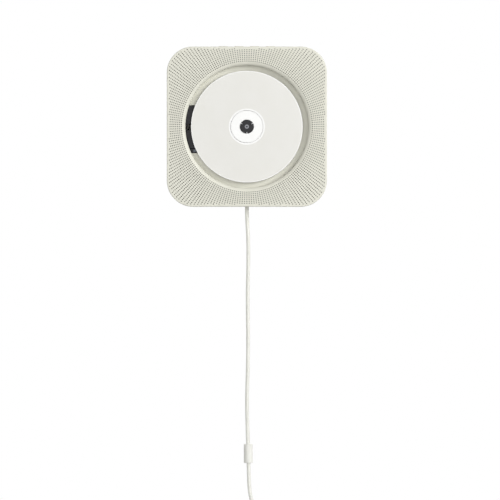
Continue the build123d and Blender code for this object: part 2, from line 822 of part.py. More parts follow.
rack_pitch = gear_module * pi
rack_first = -2
rack_last = round(sled_travel / rack_pitch) + 2
with BuildPart() as sled_rack:
    with BuildSketch(at_depth(gear_back)):
        with BuildLine():
            corners = []
            for tooth in range(rack_first, rack_last + 1):
                middle = idler_x + tooth * rack_pitch
                half_width = gear_module * pi / 4 - gear_slack / 2
                for across, height in tooth_profile(half_width, -1) + tooth_profile(half_width, 1)[::-1]:
                    corners.append((middle + across, rack_pitch_z - height))
            Polyline(*corners, (corners[-1][0], sled_bottom), (corners[0][0], sled_bottom), close=True)
        make_face()
    extrude(amount=gear_thickness)
write_piece(sled_rack, "sled_rack")

with BuildPart() as idler_gear:
    with BuildSketch(at_point(idler_x, gear_back, idler_z)):
        with BuildLine():
            Polyline(*gear_points(idler_teeth, idler_phase), close=True)
        make_face()
        Circle(idler_axle_diameter / 2 + rod_fit, mode=Mode.SUBTRACT)
    extrude(amount=gear_thickness)
write_piece(idler_gear, "idler_gear")

with BuildPart() as idler_axle:
    with BuildSketch(at_point(idler_x, chassis_depth, idler_z)):
        Circle(idler_axle_diameter / 2)
    extrude(amount=gear_back + gear_thickness + gear_lift - chassis_depth)
    with BuildSketch(at_point(idler_x, gear_back + gear_thickness + gear_lift, idler_z)):
        Circle(idler_axle_head / 2)
    extrude(amount=gear_lift)
write_piece(idler_axle, "idler_axle")

pinion_phase = mesh_angle + 180.0 + 180.0 / pinion_teeth
with BuildPart() as motor_pinion:
    with BuildSketch(at_point(pinion_x, gear_back, pinion_z)):
        with BuildLine():
            Polyline(*gear_points(pinion_teeth, pinion_phase), close=True)
        make_face()
        Circle(sled_shaft_diameter / 2, mode=Mode.SUBTRACT)
    extrude(amount=gear_thickness)
write_piece(motor_pinion, "motor_pinion")

with BuildPart() as sled_motor_shaft:
    with BuildSketch(at_point(pinion_x, chassis_depth - motor_length / 2, pinion_z)):
        Circle(sled_shaft_diameter / 2)
    extrude(amount=motor_length / 2 + gear_back + gear_thickness - chassis_depth)
write_piece(sled_motor_shaft, "sled_motor_shaft")

with BuildPart() as sled_motor:
    with BuildSketch(at_point(pinion_x, chassis_depth - motor_length, pinion_z)):
        Circle(sled_motor_radius)
    extrude(amount=motor_length)
    fillet(sled_motor.faces().sort_by(Axis.Y)[-1].edges(), motor_round)
    with BuildSketch(at_point(pinion_x, chassis_depth - motor_length / 2, pinion_z)):
        Circle(sled_shaft_diameter / 2)
    extrude(amount=motor_length / 2, mode=Mode.SUBTRACT)
write_piece(sled_motor, "sled_motor")

# ================================================================ loudspeakers
# Each is turned about its own axis: a pressed basket, a paper cone with its surround, a magnet.
basket_back = front_inner - speaker_basket_depth
for side, (speaker_x, speaker_z) in speaker_places.items():
    middle = Plane(origin=(speaker_x, 0, speaker_z), x_dir=(1, 0, 0), z_dir=(0, 0, 1))
    axis = Axis((speaker_x, 0, speaker_z), (0, 1, 0))
    flange_back = front_inner - speaker_flange
    with BuildPart() as speaker_basket:
        with BuildSketch(middle):
            with BuildLine():
                Polyline(
                    (speaker_radius, -front_inner),
                    (speaker_radius, -flange_back),
                    (speaker_radius - speaker_rim, -flange_back),
                    (speaker_throat + speaker_wall, -basket_back),
                    (0, -basket_back),
                    (0, -basket_back - speaker_wall),
                    (speaker_throat, -basket_back - speaker_wall),
                    (speaker_radius - speaker_rim - speaker_wall, -flange_back - speaker_wall),
                    (speaker_radius - speaker_rim - speaker_wall, -front_inner),
                    close=True,
                )
            make_face()
        revolve(axis=axis)
    write_piece(speaker_basket, f"{side}_speaker_basket")

    rim_radius = speaker_radius - speaker_rim - speaker_wall
    rim_depth = front_inner - cone_clearance
    with BuildPart() as speaker_cone:
        with BuildSketch(middle):
            with BuildLine():
                Polyline(
                    (rim_radius, -rim_depth),
                    (rim_radius - cone_surround, -rim_depth + cone_thickness),
                    (cone_throat, -rim_depth + cone_depth),
                    (0, -rim_depth + cone_depth - cone_cap_height),
                    (0, -rim_depth + cone_depth - cone_cap_height - cone_thickness),
                    (cone_throat, -rim_depth + cone_depth - cone_thickness),
                    (rim_radius - cone_surround, -rim_depth),
                    (rim_radius, -rim_depth - cone_thickness),
                    close=True,
                )
            make_face()
        revolve(axis=axis)
    write_piece(speaker_cone, f"{side}_speaker_cone")

    with BuildPart() as speaker_magnet:
        with BuildSketch(at_point(speaker_x, basket_back - speaker_magnet_length, speaker_z)):
            Circle(speaker_magnet_radius)
        extrude(amount=speaker_magnet_length)
        fillet(speaker_magnet.faces().sort_by(Axis.Y)[-1].edges(), magnet_round)
    write_piece(speaker_magnet, f"{side}_speaker_magnet")

# ================================================================ circuit board
with BuildPart() as circuit_board:
    with BuildSketch(at_depth(board_depth)):
        with Locations((board_left, board_bottom)):
            Rectangle(board_right - board_left, board_top - board_bottom, align=(Align.MIN, Align.MIN))
        with Locations(*board_post_places):
            Circle(board_screw_radius, mode=Mode.SUBTRACT)
    extrude(amount=board_thickness)
write_piece(circuit_board, "circuit_board")

board_front = board_depth + board_thickness
with BuildPart() as board_screws:
    with BuildSketch(at_depth(board_front)):
        with Locations(*board_post_places):
            Circle(board_screw_head)
    extrude(amount=board_screw_head_height)
    with BuildSketch(at_depth(board_front)):
        with Locations(*board_post_places):
            Circle(board_screw_radius)
    extrude(amount=-board_screw_grip)
write_piece(board_screws, "board_screws")

board_centre_z = (board_bottom + board_top) / 2
with BuildPart() as board_chips:
    with BuildSketch(at_depth(board_front)):
        with Locations((main_chip_x, board_centre_z)):
            Rectangle(main_chip_size, main_chip_size)
        with Locations(*[(small_chip_x, board_centre_z + rise) for rise in small_chip_rises]):
            Rectangle(small_chip_width, small_chip_height)
    extrude(amount=chip_thickness)
write_piece(board_chips, "board_chips")

with BuildPart() as board_capacitors:
    with BuildSketch(at_depth(board_front)):
        with Locations(*[(x, board_centre_z + rise) for x, rise in capacitor_places]):
            Circle(capacitor_radius)
    extrude(amount=capacitor_height)
write_piece(board_capacitors, "board_capacitors")

with BuildPart() as board_connectors:
    with BuildSketch(at_depth(board_front)):
        with Locations(*[(x, board_bottom + connector_rise) for x in (-connector_pitch, 0, connector_pitch)]):
            Rectangle(connector_width, connector_breadth)
    extrude(amount=connector_height)
write_piece(board_connectors, "board_connectors")

# ================================================================ keys in the top edge
key_cap_bottom = inner_half - key_top_gap
switch_top = key_board_top + switch_height
stem_bottom = switch_top - key_travel - key_free_play
for name, key_x in zip(key_names, key_places):
    with BuildPart() as key:
        with BuildSketch(at_height(key_cap_bottom)):
            with Locations((key_x, -key_depth)):
                SlotOverall(key_length, key_width)
        extrude(amount=half_size + key_proud - key_cap_bottom)
        chamfer(key.faces().sort_by(Axis.Z)[-1].edges(), key_chamfer)
        with BuildSketch(at_height(key_cap_bottom)):
            with Locations((key_x, -key_depth)):
                SlotOverall(key_length + 2 * key_flange, key_width + 2 * key_flange)
        extrude(amount=-key_flange_thickness)
        with BuildSketch(at_height(key_cap_bottom - key_flange_thickness)):
            with Locations((key_x, -key_depth)):
                Circle(key_stem_radius)
        extrude(amount=stem_bottom - key_cap_bottom + key_flange_thickness)
    write_piece(key, name)

with BuildPart() as key_board:
    with BuildSketch(at_height(key_board_bottom)):
        with Locations((0, -key_depth)):
            Rectangle(2 * key_board_end, key_board_width)
    extrude(amount=key_board_thickness)
write_piece(key_board, "key_board")

with BuildPart() as key_switches:
    with BuildSketch(at_height(key_board_top)):
        with Locations(*[(x, -key_depth) for x in key_places]):
            Rectangle(switch_size, switch_size)
    extrude(amount=switch_height)
    with BuildSketch(at_height(switch_top)):
        with Locations(*[(x, -key_depth) for x in key_places]):
            Circle(switch_well_radius)
    extrude(amount=-switch_well_depth, mode=Mode.SUBTRACT)
write_piece(key_switches, "key_switches")

# ================================================================ pull switch
mouth_z = -half_size + pull_stem_above_mouth
guide_bottom = -inner_half
collar_bottom = guide_bottom + pull_travel + (pull_spring_turns + pull_spring_end_turns) * pull_spring_wire
collar_top = collar_bottom + pull_collar_height
guide_top = collar_top + guide_roof
with BuildPart() as pull_slider:
    with BuildSketch(at_height(mouth_z)):
        with Locations((0, -pull_depth)):
            Circle(pull_stem_radius)
    extrude(amount=collar_top + pull_upper_stem - mouth_z)
    with BuildSketch(at_height(collar_bottom)):
        with Locations((0, -pull_depth)):
            Circle(pull_collar_radius)
    extrude(amount=pull_collar_height)
write_piece(pull_slider, "pull_slider")

with BuildPart() as slider_guide:
    with BuildSketch(at_height(guide_bottom)):
        with Locations((0, -pull_depth)):
            Rectangle(2 * guide_half_width, 2 * guide_half_depth)
    extrude(amount=guide_top - guide_bottom)
    with BuildSketch(at_height(guide_bottom)):
        with Locations((0, -pull_depth)):
            Circle(pull_collar_radius + pull_collar_fit)
    extrude(amount=collar_top - guide_bottom, mode=Mode.SUBTRACT)
    with BuildSketch(at_height(guide_bottom)):
        with Locations((0, -pull_depth)):
            Circle(pull_stem_radius + pull_collar_fit)
    extrude(amount=guide_top - guide_bottom, mode=Mode.SUBTRACT)
write_piece(slider_guide, "slider_guide")

spring_height = collar_bottom - guide_bottom - pull_spring_wire
spring_middle = pull_spring_radius - pull_spring_wire / 2
with BuildPart() as pull_spring:
    with BuildLine():
        coil = Helix(
            pitch=spring_height / pull_spring_turns,
            height=spring_height,
            radius=spring_middle,
            center=(0, -pull_depth, guide_bottom + pull_spring_wire / 2),
        )
    with BuildSketch(Plane(origin=coil @ 0, z_dir=coil % 0, x_dir=(1, 0, 0))):
        Rectangle(pull_spring_wire * pull_spring_bar_share, pull_spring_wire * pull_spring_bar_share)
    sweep(is_frenet=True)
write_piece(pull_spring, "pull_spring")

stem_top = collar_top + pull_upper_stem
with BuildPart() as pull_switch:
    with BuildSketch(at_height(guide_top)):
        with Locations((0, -pull_depth)):
            Rectangle(micro_switch_width, micro_switch_breadth)
    extrude(amount=micro_switch_height)
    with BuildSketch(at_height(guide_top)):
        with Locations((0, -pull_depth)):
            Circle(pull_stem_radius + pull_collar_fit)
    extrude(amount=stem_top - guide_top + micro_switch_gap, mode=Mode.SUBTRACT)
write_piece(pull_switch, "pull_switch")

# ================================================================ cord, pull grip, coil and adapter


def cord_tube(route):
    """A round cord along a route of (x, z) points, every corner an arc as large as its runs allow."""
    points = [Vector(x, -pull_depth, z) for x, z in route]
    radii = []
    for before, here, after in zip(points, points[1:], points[2:]):
        half_turn = radians((here - before).get_angle(after - here)) / 2
        shorter = min((here - before).length, (after - here).length)
        radii.append(arc_share * shorter / tan(half_turn))
    with BuildPart() as tube:
        with BuildLine() as path:
            FilletPolyline(*points, radius=radii)
        wire = path.wires()[0]
        with BuildSketch(Plane(origin=wire @ 0, z_dir=wire % 0)):
            Circle(cord_diameter / 2)
        sweep()
    print(f"cord {wire.length:.1f} long, tightest radius {min(radii):.1f},",
          f"volume ratio {tube.part.volume / (wire.length * pi * cord_diameter**2 / 4):.4f}")
    return tube


upper_cord = cord_tube([(0.0, mouth_z)] + cord_route)
write_piece(upper_cord, "pull_cord")

with BuildPart() as pull_grip:
    with BuildSketch(Plane(origin=(grip_x, -pull_depth, grip_bottom_z), z_dir=(0, 0, 1))):
        Circle(grip_radius)
    extrude(amount=grip_top_z - grip_bottom_z)
    fillet(pull_grip.edges().filter_by(GeomType.CIRCLE), grip_round)
write_piece(pull_grip, "pull_grip")

coil_x, coil_z = coil_centre
with BuildPart() as cord_coil:
    with BuildSketch(Plane(origin=(coil_x, 0, coil_z), x_dir=(1, 0, 0), z_dir=(0, 0, 1))):
        with Locations((coil_mean_radius, -pull_depth)):
            RectangleRounded(2 * coil_half_width, 2 * coil_half_depth, coil_half_width * coil_corner_share)
    revolve(axis=Axis((coil_x, 0, coil_z), (0, 1, 0)))
write_piece(cord_coil, "cord_coil")

lower_cord = cord_tube(tail_route)
write_piece(lower_cord, "adapter_cord")

tie_turn = tie_width / coil_mean_radius * 180 / pi
with BuildPart() as cord_tie:
    with BuildSketch(Plane(origin=(coil_x, 0, coil_z), x_dir=(1, 0, 0), z_dir=(0, 0, 1))):
        with Locations((-coil_mean_radius, -pull_depth)):
            RectangleRounded(2 * (coil_half_width + tie_thickness), 2 * (coil_half_depth + tie_thickness),
                             coil_half_width * coil_corner_share + tie_thickness)
            RectangleRounded(2 * coil_half_width, 2 * coil_half_depth, coil_half_width * coil_corner_share,
                             mode=Mode.SUBTRACT)
    revolve(axis=Axis((coil_x, 0, coil_z), (0, 1, 0)), revolution_arc=tie_turn)
write_piece(cord_tie, "cord_tie")

tail_x, tail_z = tail_route[-1]
adapter_top = tail_z - relief_length
with BuildPart() as adapter_strain_relief:
    with BuildSketch(Plane(origin=(tail_x, -pull_depth, adapter_top))):
        Circle(relief_base_radius)
    with BuildSketch(Plane(origin=(tail_x, -pull_depth, tail_z))):
        Circle(relief_end_radius)
    loft()
write_piece(adapter_strain_relief, "adapter_strain_relief")

with BuildPart() as power_adapter:
    with BuildSketch(Plane(origin=(tail_x, -pull_depth, adapter_top - adapter_height))):
        RectangleRounded(adapter_width, adapter_breadth, adapter_round)
    extrude(amount=adapter_height)
    fillet(power_adapter.faces().sort_by(Axis.Z)[-1].edges(), adapter_top_round)
write_piece(power_adapter, "power_adapter")

prong_top = adapter_top - adapter_height
with BuildPart() as adapter_prongs:
    with BuildSketch(Plane(origin=(tail_x, -pull_depth, prong_top))):
        with Locations((-prong_spacing / 2, 0), (prong_spacing / 2, 0)):
            Rectangle(prong_thickness, prong_width)
    extrude(amount=-prong_length)
    chamfer(adapter_prongs.faces().sort_by(Axis.Z)[:2].edges(), prong_chamfer)
    with BuildSketch(Plane.YZ.offset(tail_x - prong_spacing)):
        with Locations((-pull_depth, prong_top - prong_length + prong_hole_from_tip)):
            Circle(prong_hole / 2)
    extrude(amount=2 * prong_spacing, mode=Mode.SUBTRACT)
write_piece(adapter_prongs, "adapter_prongs")
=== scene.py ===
import json
from math import asin, atan2, cos, hypot, pi, radians, sin

import bmesh
import bpy
from mathutils import Matrix, Vector


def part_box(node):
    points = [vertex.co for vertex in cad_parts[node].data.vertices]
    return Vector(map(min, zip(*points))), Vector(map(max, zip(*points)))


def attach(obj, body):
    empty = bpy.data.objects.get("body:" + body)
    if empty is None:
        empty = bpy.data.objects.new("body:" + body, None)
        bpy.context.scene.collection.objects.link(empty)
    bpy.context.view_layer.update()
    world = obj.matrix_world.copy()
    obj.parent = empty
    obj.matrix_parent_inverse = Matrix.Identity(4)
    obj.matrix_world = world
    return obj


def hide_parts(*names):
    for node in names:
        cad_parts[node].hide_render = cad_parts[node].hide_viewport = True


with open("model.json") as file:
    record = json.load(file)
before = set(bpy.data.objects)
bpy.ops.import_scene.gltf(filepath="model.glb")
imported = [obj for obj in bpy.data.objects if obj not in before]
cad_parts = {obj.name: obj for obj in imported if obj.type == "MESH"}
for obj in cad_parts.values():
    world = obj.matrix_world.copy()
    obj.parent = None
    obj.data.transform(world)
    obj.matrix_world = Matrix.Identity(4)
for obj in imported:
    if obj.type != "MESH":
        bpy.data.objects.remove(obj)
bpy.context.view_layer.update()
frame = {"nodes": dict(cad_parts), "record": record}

# --------------------------------------------------------------------- camera
# A long lens, square on and far off, centred between the player and the cord below it.
picture_width = 0.537
picture_centre = (0.00335, -0.13255)
camera_distance = 8.0
sensor_width = 36
scene = bpy.context.scene
camera = bpy.data.objects.new("camera", bpy.data.cameras.new("camera"))
camera.data.sensor_width = sensor_width
camera.data.lens = sensor_width * camera_distance / picture_width
camera.data.clip_start = 0.1
camera.data.clip_end = 50
camera.location = (picture_centre[0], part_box("front_cover")[0].y - camera_distance, picture_centre[1])
camera.rotation_euler = (radians(90), 0, 0)
scene.collection.objects.link(camera)
scene.camera = camera

# ----------------------------------------------------------------------- cord
# One round flex sheathed in soft pale vinyl: from the pull slider down through the grip, round and
# round in a hank held by a vinyl strip, and on into the mains adapter's strain relief.
cord_diameter = 0.0041
cord_depth = 0.020
cord_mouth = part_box("pull_slider")[0].z
cord_route = [
    (0.0, -0.097), (0.0015, -0.118), (0.0017, -0.147), (0.0007, -0.183), (0.0014, -0.222),
    (0.0012, -0.258), (0.0, -0.292), (0.0006, -0.322), (0.0015, -0.349), (0.0020, -0.374),
    (0.0030, -0.395), (0.0076, -0.410), (0.0156, -0.421),
]
hank_centre = (0.0025, -0.447)
hank_radius = 0.023
hank_turns = 9
points_per_turn = 12
tail_route = [(0.014, -0.474), (0.007, -0.4815), (0.0025, -0.491), (0.0025, -0.500)]
# Each turn's place in the hank's section, across and forward in layers. The first, a part turn,
# lies in the groove between the two outer strands in front.
hank_lanes = [
    (0.5, 1.8), (1, 1), (0, 1), (-1, 1), (-1, 0), (-1, -1), (0, -1), (0, 0), (1, 0), (1, -1),
]
lane_pitch = 0.0042
lane_change = 0.15
# A spline runs inside its control points, which lie this much further out.
outside_points = 1 / 0.966


def polar(point, centre):
    return atan2(point[1] - centre[1], point[0] - centre[0])


def hank_points(start, end):
    """The hank's control points, clockwise from one angle to another after nine whole turns."""
    first_part = (start - end) / (2 * pi)
    steps = round((hank_turns + first_part) * points_per_turn)
    points = []
    for step in range(1, steps):
        turns = step / steps * (hank_turns + first_part)
        lane = turns - first_part + 1
        settled = min(max(int(lane), 0), hank_turns)
        following = min(settled + 1, hank_turns)
        share = max(0.0, (lane - settled - 1 + lane_change) / lane_change)
        share = share * share * (3 - 2 * share)
        across = hank_lanes[settled][0] * (1 - share) + hank_lanes[following][0] * share
        forward = hank_lanes[settled][1] * (1 - share) + hank_lanes[following][1] * share
        reach = (hank_radius + across * lane_pitch) * outside_points
        angle = start - turns * 2 * pi
        x = hank_centre[0] + reach * cos(angle)
        z = hank_centre[1] + reach * sin(angle)
        points.append((x, -cord_depth - forward * lane_pitch, z))
    return points


cord_points = [(0.0, -cord_depth, cord_mouth)]
cord_points += [(x, -cord_depth, z) for x, z in cord_route]
cord_points += hank_points(polar(cord_route[-1], hank_centre), polar(tail_route[0], hank_centre))
cord_points += [(x, -cord_depth, z) for x, z in tail_route]
cord_curve = bpy.data.curves.new("pull_cord_flex", "CURVE")
cord_curve.dimensions = "3D"
# The thickness comes from the points, over a bevel of one.
cord_curve.bevel_depth = 1
cord_curve.bevel_resolution = 5
cord_curve.resolution_u = 6
cord_curve.use_fill_caps = True
cord_line = cord_curve.splines.new("NURBS")
cord_line.points.add(len(cord_points) - 1)
for point, place in zip(cord_line.points, cord_points):
    point.co = (*place, 1)
    point.radius = cord_diameter / 2
cord_line.order_u = 3
cord_line.use_endpoint_u = True
cord = bpy.data.objects.new("pull_cord_flex", cord_curve)
scene.collection.objects.link(cord)
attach(cord, "pull_cord")
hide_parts("pull_cord", "cord_coil", "adapter_cord")

# ---------------------------------------------------------------- front cover
# One ABS moulding in a warm light grey: a square shell with a rolled rim round its open well. Its
# face has 200 radial rows of fine blind holes, which go right through in front of the loudspeakers.
# It is drawn face up in millimetres, a height being the distance from the wall, and then hung up.
casing_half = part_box("front_cover")[1].x * 1000
front_depth = -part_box("front_cover")[0].y * 1000
corner_radius = 28.0
edge_round = 1.0
edge_steps = 5
side_wall = 2.4
front_wall = 2.2
seam_depth = 9.0
seam_chamfer = 0.3
well_radius = 66.1
well_depth = 11.0
well_wall = 2.0
floor_thickness = 2.0
rim_round = 6.3
rim_centre = 71.6
rim_steps = 8
rim_blend = 0.2
deck_top = 23.2
deck_bottom = -28.5
deck_right = 24.0
corner_steps = 14
hole_rows = 200
hole_rings = 19
hole_pitch = 2.015
first_ring = 70.42
hole_radius = 0.6
hole_sides = 8
hole_margin = 2.3
dimple_depth = 1.9
speaker_place = (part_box("right_speaker_basket")[0].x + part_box("right_speaker_basket")[1].x) * 500
speaker_opening = 16.2
key_places = [-25.5, -8.5, 8.5, 25.5]
key_depth = -(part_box("volume_up_key")[0].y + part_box("volume_up_key")[1].y) * 500
key_slot_length = 10.4
key_slot_width = 5.0
key_slot_steps = 8
# Just under half of the width, so that the two bends at each end don't meet.
slot_end_share = 0.499
cord_hole_radius = 3.3
cord_hole_sides = 32
inner_half = casing_half - side_wall
front_inner = front_depth - front_wall
floor_depth = front_depth - well_depth
floor_back = floor_depth - floor_thickness
sharp_angle = radians(35)
# How far apart two places may be in millimetres and still count as one.
flush = 0.001
touching = 0.01
near = 0.1
ON_THE_WALL = Matrix.Scale(0.001, 4) @ Matrix.Rotation(pi / 2, 4, "X")


def verts_of(edges):
    return list({v for e in edges for v in e.verts})


def open_edges(bm, wanted):
    """The edges with a face on one side only whose two ends a test wants."""
    return [e for e in bm.edges if len(e.link_faces) < 2 and all(wanted(v.co) for v in e.verts)]


def circle_edges(bm, radius, height, sides, middle=(0, 0)):
    verts = bmesh.ops.create_circle(bm, segments=sides, radius=radius)["verts"]
    bmesh.ops.translate(bm, verts=verts, vec=(*middle, height))
    return list({e for v in verts for e in v.link_edges})


def rounded_edges(bm, width, depth, radius, height, steps):
    """The edges of a level rounded rectangle round the origin."""
    corners = bmesh.ops.create_grid(bm, x_segments=1, y_segments=1, size=0.5)["verts"]
    bmesh.ops.scale(bm, verts=corners, vec=(width, depth, 1))
    bmesh.ops.translate(bm, verts=corners, vec=(0, 0, height))
    verts = bmesh.ops.bevel(bm, geom=corners, affect="VERTICES", offset=radius, segments=steps,
                            profile=0.5, material=-1)["verts"]
    face = verts[0].link_faces[0]
    edges = face.edges[:]
    bmesh.ops.delete(bm, geom=[face], context="FACES_ONLY")
    return edges


def pull_edges(bm, edges, move):
    """Extrudes a loop, puts each new vertex where a function of its place says: the new loop."""
    made = bmesh.ops.extrude_edge_only(bm, edges=edges)["geom"]
    fresh = {g for g in made if isinstance(g, bmesh.types.BMVert)}
    for v in fresh:
        v.co = move(v.co)
    return [g for g in made if isinstance(g, bmesh.types.BMEdge) and set(g.verts) <= fresh]


def at_radius(radius, height):
    return lambda co: Vector((*(co.xy.normalized() * radius), height))


def at_height(height):
    return lambda co: Vector((co.x, co.y, height))


def at_inset(inset, height):
    """Puts a point of the casing's outline at an inset from the casing's outer face."""
    core = casing_half - corner_radius

    def place(co):
        middle = Vector((max(-core, min(core, co.x)), max(-core, min(core, co.y))))
        side = (co.xy - middle).normalized()
        return Vector((*(middle + side * (corner_radius - inset)), height))

    return place


def inside_by(x, y):
    """How far inside the casing's outline a point of the face is."""
    core = casing_half - corner_radius
    across = max(abs(x) - core, 0)
    up = max(abs(y) - core, 0)
    if across == 0 and up == 0:
        return casing_half - max(abs(x), abs(y))
    return corner_radius - hypot(across, up)


def fill_between(bm, edges, normal):
    bmesh.ops.triangle_fill(bm, edges=edges, use_beauty=True, normal=normal)


def face_point(ring, row):
    reach = first_ring + ring * hole_pitch
    turn = row * 2 * pi / hole_rows
    return reach * cos(turn), reach * sin(turn)


def hole_of(point):
    """Ring and row of the hole whose cell a point lies in."""
    ring = round((point.xy.length - first_ring) / hole_pitch)
    return ring, round(atan2(point.y, point.x) * hole_rows / (2 * pi))


def hole_cell(bm, ring):
    """One ring's share of a sector of the face, with its blind hole, on the +X axis."""
    square = bmesh.ops.create_grid(bm, x_segments=2, y_segments=2, size=1)["verts"]
    centre = min(square, key=lambda v: v.co.length)
    border = [v for v in square if v is not centre]
    bmesh.ops.delete(bm, geom=[centre], context="VERTS")
    for v in border:
        x, y = face_point(ring + v.co.x / 2, v.co.y / 2)
        v.co = (x, y, front_depth)
    rim = circle_edges(bm, hole_radius, front_depth, hole_sides, face_point(ring, 0))
    bmesh.ops.bridge_loops(bm, edges=list({e for v in border for e in v.link_edges}) + rim)
    bottom = pull_edges(bm, rim, at_height(front_depth - dimple_depth))
    bmesh.ops.contextual_create(bm, geom=bottom)


sector = bmesh.new()
for ring in range(hole_rings):
    hole_cell(sector, ring)
sector_mesh = bpy.data.meshes.new("sector")
sector.to_mesh(sector_mesh)
sector.free()
cover = bmesh.new()
for row in range(hole_rows):
    sector_mesh.transform(Matrix.Rotation(2 * pi / hole_rows, 4, "Z"))
    cover.from_mesh(sector_mesh)
bpy.data.meshes.remove(sector_mesh)

# The rows stop where the face turns over its edge, and the last holes lose the face round them,
# which is filled in again with the plain border.
unwanted = []
for face in cover.faces:
    middle = face.calc_center_median()
    ring, row = hole_of(middle)
    hole = face_point(ring, row)
    corners = [face_point(ring + out, row + up) for out in (-0.5, 0.5) for up in (-0.5, 0.5)]
    on_face = middle.z > front_depth - touching
    is_bottom = middle.z < front_depth - dimple_depth + touching
    # Faces below the face, the walls and bottoms of the holes, take the second finish, which is painted
    # shade.
    face.material_index = 0 if on_face else 1
    by_speaker = hypot(abs(hole[0]) - speaker_place, hole[1] + speaker_place) < speaker_opening
    if inside_by(*hole) < hole_margin:
        unwanted.append(face)
    elif on_face and min(inside_by(*corner) for corner in corners) < edge_round:
        unwanted.append(face)
    elif is_bottom and by_speaker:
        unwanted.append(face)
        for v in face.verts:
            v.co.z = front_inner
bmesh.ops.delete(cover, geom=unwanted, context="FACES")
bmesh.ops.remove_doubles(cover, verts=cover.verts, dist=touching)
for v in cover.verts:
    if v.co.xy.length < rim_centre and v.co.z > front_depth - touching:
        v.co.z -= rim_round - (rim_round**2 - (rim_centre - v.co.xy.length) ** 2) ** 0.5
mouth_radius = first_ring - hole_pitch / 2
mouth = open_edges(cover, lambda co: co.xy.length < mouth_radius + near)
ragged = open_edges(cover, lambda co: co.xy.length > mouth_radius + near and co.z > front_depth - touching)
outline = rounded_edges(cover, 2 * (casing_half - edge_round), 2 * (casing_half - edge_round),
                        corner_radius - edge_round, front_depth, corner_steps)
fill_between(cover, ragged + outline, (0, 0, 1))

# The well: the rolled rim, the wall, and the floor with its cut-out for the mechanism deck.
first_turn = asin((rim_centre - mouth_radius) / rim_round)
last_turn = asin((rim_centre - well_radius) / rim_round)
for step in range(1, rim_steps + 1):
    turn = first_turn + step / rim_steps * (last_turn - first_turn)
    mouth = pull_edges(cover, mouth, at_radius(rim_centre - rim_round * sin(turn),
                                               front_depth - rim_round * (1 - cos(turn))))
mouth = pull_edges(cover, mouth, at_height(front_depth - rim_round * (1 - cos(last_turn)) - rim_blend))
mouth = pull_edges(cover, mouth, at_height(floor_depth))
floor = bmesh.ops.contextual_create(cover, geom=mouth)["faces"]
for place, normal in (((0, deck_top, 0), (0, 1, 0)), ((0, deck_bottom, 0), (0, 1, 0)),
                      ((deck_right, 0, 0), (1, 0, 0))):
    whole = {g for face in floor for g in (face, *face.edges, *face.verts)}
    bmesh.ops.bisect_plane(cover, geom=list(whole), dist=flush, plane_co=place, plane_no=normal)
    floor = [f for f in cover.faces if all(abs(v.co.z - floor_depth) < flush for v in f.verts)]
middles = {face: face.calc_center_median() for face in floor}
bmesh.ops.delete(cover, context="FACES", geom=[
    face for face, at in middles.items() if at.x < deck_right and deck_bottom < at.y < deck_top])
cut_out = open_edges(cover, lambda co: (
    co.xy.length < well_radius + near and abs(co.z - floor_depth) < flush))
cut_out = pull_edges(cover, cut_out, at_height(floor_back))
boss = circle_edges(cover, well_radius + well_wall, floor_back, 2 * hole_rows)
fill_between(cover, cut_out + boss, (0, 0, -1))
boss = pull_edges(cover, boss, at_height(front_inner))

# The outside: the rounded edge, the sides down to the seam, and the inside of the shell.
for step in range(1, edge_steps + 1):
    turn = step / edge_steps * pi / 2
    outline = pull_edges(cover, outline, at_inset(edge_round * (1 - sin(turn)),
                                                  front_depth - edge_round * (1 - cos(turn))))
outline = pull_edges(cover, outline, at_inset(0, seam_depth + seam_chamfer))
outline = pull_edges(cover, outline, at_inset(seam_chamfer, seam_depth))
outline = pull_edges(cover, outline, at_inset(side_wall, seam_depth))
outline = pull_edges(cover, outline, at_inset(side_wall, front_inner))
fill_between(cover, open_edges(cover, lambda co: abs(co.z - front_inner) < touching), (0, 0, -1))


def pierce(bm, side, shapes):
    """Opens shapes, drawn level, through the top (1) or the bottom (-1) wall of the shell."""
    walls = {}
    for reach in (casing_half, inner_half):
        flat = [f for f in bm.faces if all(abs(v.co.y - side * reach) < touching for v in f.verts)]
        wall = max(flat, key=lambda f: f.calc_area())
        walls[reach] = wall.edges[:]
        bmesh.ops.delete(bm, geom=[wall], context="FACES_ONLY")
    upright = Matrix.Rotation(-side * pi / 2, 4, "X")
    inner = []
    for edges, place in shapes:
        bmesh.ops.transform(bm, verts=verts_of(edges), matrix=Matrix.Translation(place) @ upright)
        inner += pull_edges(bm, edges, lambda co: Vector((co.x, side * inner_half, co.z)))
    outer = [e for edges, place in shapes for e in edges]
    fill_between(bm, outer + walls[casing_half], (0, side, 0))
    fill_between(bm, inner + walls[inner_half], (0, -side, 0))


slot_end = key_slot_width * slot_end_share
key_slots = [
    (rounded_edges(cover, key_slot_length, key_slot_width, slot_end, 0, key_slot_steps),
     (x, casing_half, key_depth)) for x in key_places
]
pierce(cover, 1, key_slots)
cord_hole = circle_edges(cover, cord_hole_radius, 0, cord_hole_sides)
pierce(cover, -1, [(cord_hole, (0, -casing_half, cord_depth * 1000))])


def finish_piece(bm, name, body, *nodes, slot):
    """Shades a closed mesh, puts it on the wall in metres and hands it to its body."""
    bmesh.ops.recalc_face_normals(bm, faces=bm.faces)
    for face in bm.faces:
        face.smooth = True
    for edge in bm.edges:
        edge.smooth = len(edge.link_faces) == 2 and edge.calc_face_angle() < sharp_angle
    mesh = bpy.data.meshes.new(name)
    bm.to_mesh(mesh)
    bm.free()
    mesh.transform(ON_THE_WALL)
    piece = bpy.data.objects.new(name, mesh)
    scene.collection.objects.link(piece)
    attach(piece, body)
    if nodes:
        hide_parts(*nodes)
    return piece


casing_front = finish_piece(cover, "casing_front", "player", "front_cover", slot="casing_plastic")

